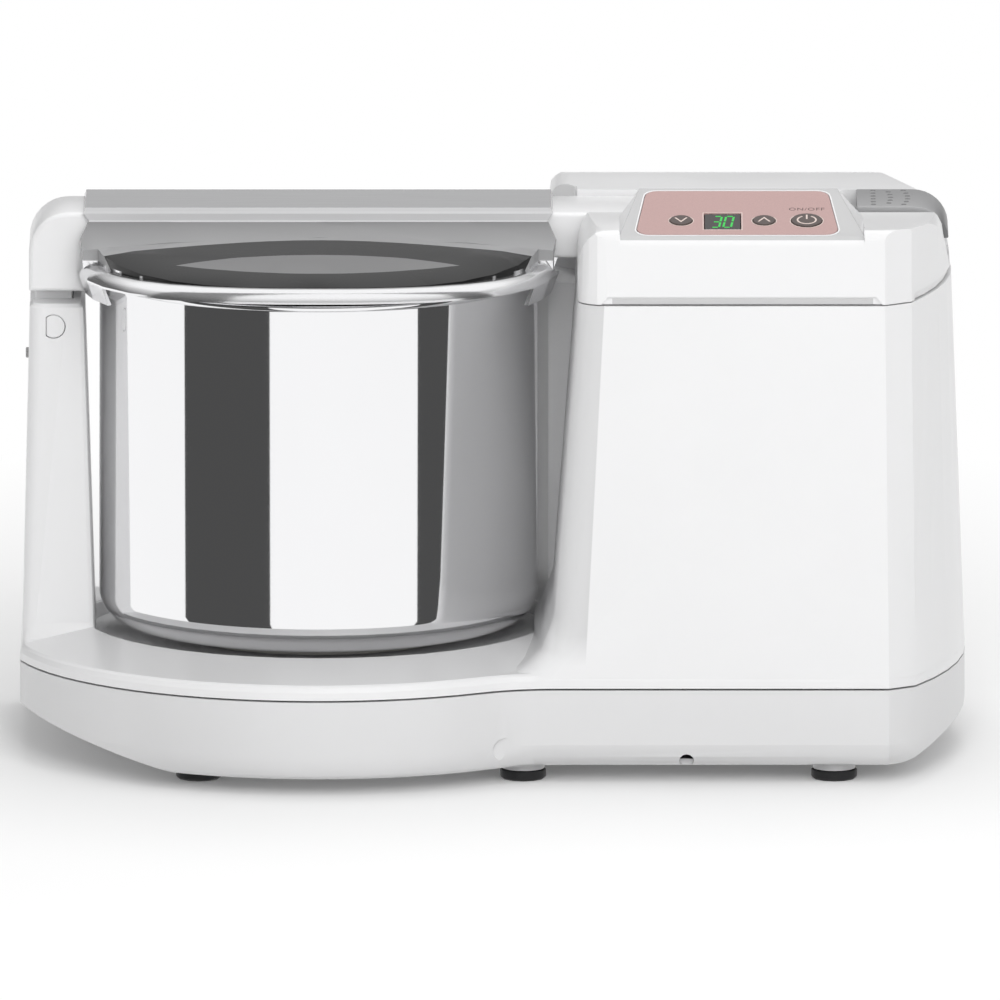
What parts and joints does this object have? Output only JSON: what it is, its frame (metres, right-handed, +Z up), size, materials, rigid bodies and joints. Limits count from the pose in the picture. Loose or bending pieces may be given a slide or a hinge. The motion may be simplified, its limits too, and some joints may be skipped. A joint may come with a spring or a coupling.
{
  "type": "wet grinder",
  "caption": "Table-top wet grinder: steel drum with conical stones on a belt drive, hinged arm with lid and latch, motor tower with keyed panel.",
  "frame": {"origin": "on the table, under the middle of the object's box", "axes": "+X from the drum to the motor tower, +Y from the panel's side to the back, +Z up"},
  "size_m": [0.4295, 0.2542, 0.2646],
  "materials": {
    "white_plastic": "satin white moulding",
    "pink_panel": "dusty pink, satin",
    "grey_plastic": "satin grey",
    "smoke_plastic": "smoke grey, glossy",
    "display_window": "dark and clear",
    "key_plastic": "satin grey",
    "nylon": "natural",
    "board": "coated",
    "black_plastic": "matte black",
    "rubber": "matte black",
    "drum_steel": "mirror polished stainless steel",
    "steel": "machined",
    "laminations": "stacked sheet",
    "copper": "enamelled copper wire, wound",
    "aluminium": "cast",
    "bronze": "sintered",
    "stone": "dressed granite"
  },
  "bodies": {
    "housing": {"base_pan": "white_plastic", "upper_housing": "white_plastic", "top_cover": "white_plastic", "cord_inlet": "black_plastic", "foot_front_left": "rubber", "foot_front_middle": "rubber", "foot_front_right": "rubber", "foot_rear_left": "rubber", "foot_rear_middle": "rubber", "foot_rear_right": "rubber", "control_panel": "pink_panel", "display_window": "display_window", "display_module": "black_plastic", "control_board": "board", "hinge_pin": "steel", "pin_plug": "white_plastic", "side_bumper": "rubber", "latch_pin": "steel", "axle_rear": "steel", "axle_front": "steel", "stone_holder": "nylon", "wiper": "nylon", "spindle_housing": "aluminium", "spindle_bearing_lower": "bronze", "spindle_bearing_upper": "bronze", "drive_belt": "rubber", "motor_stator": "laminations", "winding_lower": "copper", "winding_upper": "copper", "motor_frame_lower": "aluminium", "motor_frame_upper": "aluminium"},
    "arm": {"arm": "white_plastic", "arm_fork": "nylon", "arm_strike": "steel"},
    "lid": {"lid": "smoke_plastic"},
    "latch": {"latch_lever": "grey_plastic"},
    "key_down": {"key_down": "key_plastic"},
    "key_up": {"key_up": "key_plastic"},
    "key_power": {"key_power": "key_plastic"},
    "drum": {"drum_shell": "drum_steel", "drive_ring": "nylon", "stone_bed": "stone", "centre_pin": "steel", "spindle": "steel", "driven_pulley": "aluminium"},
    "stone_rear": {"stone_rear": "stone"},
    "stone_front": {"stone_front": "stone"},
    "motor": {"motor_rotor": "steel", "motor_pulley": "aluminium", "cooling_fan": "nylon"}
  },
  "joints": [
    {"name": "arm_hinge", "type": "hinge", "parent": "housing", "child": "arm", "pos_m": [-0.19945, 0.01335, 0.1975], "axis": [0, -1, 0], "range_deg": [0, 98]},
    {"name": "lid_lift", "type": "slide", "parent": "arm", "child": "lid", "axis": [0, 0, 1], "range_m": [0, 0.06]},
    {"name": "latch_hinge", "type": "hinge", "parent": "housing", "child": "latch", "pos_m": [0.17125, 0.01335, 0.2436], "axis": [0, -1, 0], "range_deg": [0, 22], "stiffness_Nm_per_rad": 0.4, "springref_deg": -17.19},
    {"name": "key_down_press", "type": "slide", "parent": "housing", "child": "key_down", "axis": [0, 0.2532, -0.9674], "range_m": [0, 0.0007], "stiffness_N_per_m": 800, "springref_m": -0.0005},
    {"name": "key_up_press", "type": "slide", "parent": "housing", "child": "key_up", "axis": [0, 0.2532, -0.9674], "range_m": [0, 0.0007], "stiffness_N_per_m": 800, "springref_m": -0.0005},
    {"name": "key_power_press", "type": "slide", "parent": "housing", "child": "key_power", "axis": [0, 0.2532, -0.9674], "range_m": [0, 0.0007], "stiffness_N_per_m": 800, "springref_m": -0.0005},
    {"name": "drum_spin", "type": "hinge", "parent": "housing", "child": "drum", "pos_m": [-0.07925, 0.01335, 0.0583], "axis": [0, 0, 1], "continuous": true},
    {"name": "stone_rear_roll", "type": "hinge", "parent": "housing", "child": "stone_rear", "pos_m": [-0.07925, 0.01335, 0.0803], "axis": [0, 0.866, 0.5], "continuous": true},
    {"name": "stone_front_roll", "type": "hinge", "parent": "housing", "child": "stone_front", "pos_m": [-0.07925, 0.01335, 0.0803], "axis": [0, -0.866, 0.5], "continuous": true},
    {"name": "motor_spin", "type": "hinge", "parent": "housing", "child": "motor", "pos_m": [0.12575, 0.01335, 0.113], "axis": [0, 0, 1], "continuous": true}
  ],
  "couplings": [
    {"joint": "stone_rear_roll", "follows": "drum_spin", "ratio": 2},
    {"joint": "stone_front_roll", "follows": "drum_spin", "ratio": 2},
    {"joint": "motor_spin", "follows": "drum_spin", "ratio": 5}
  ]
}
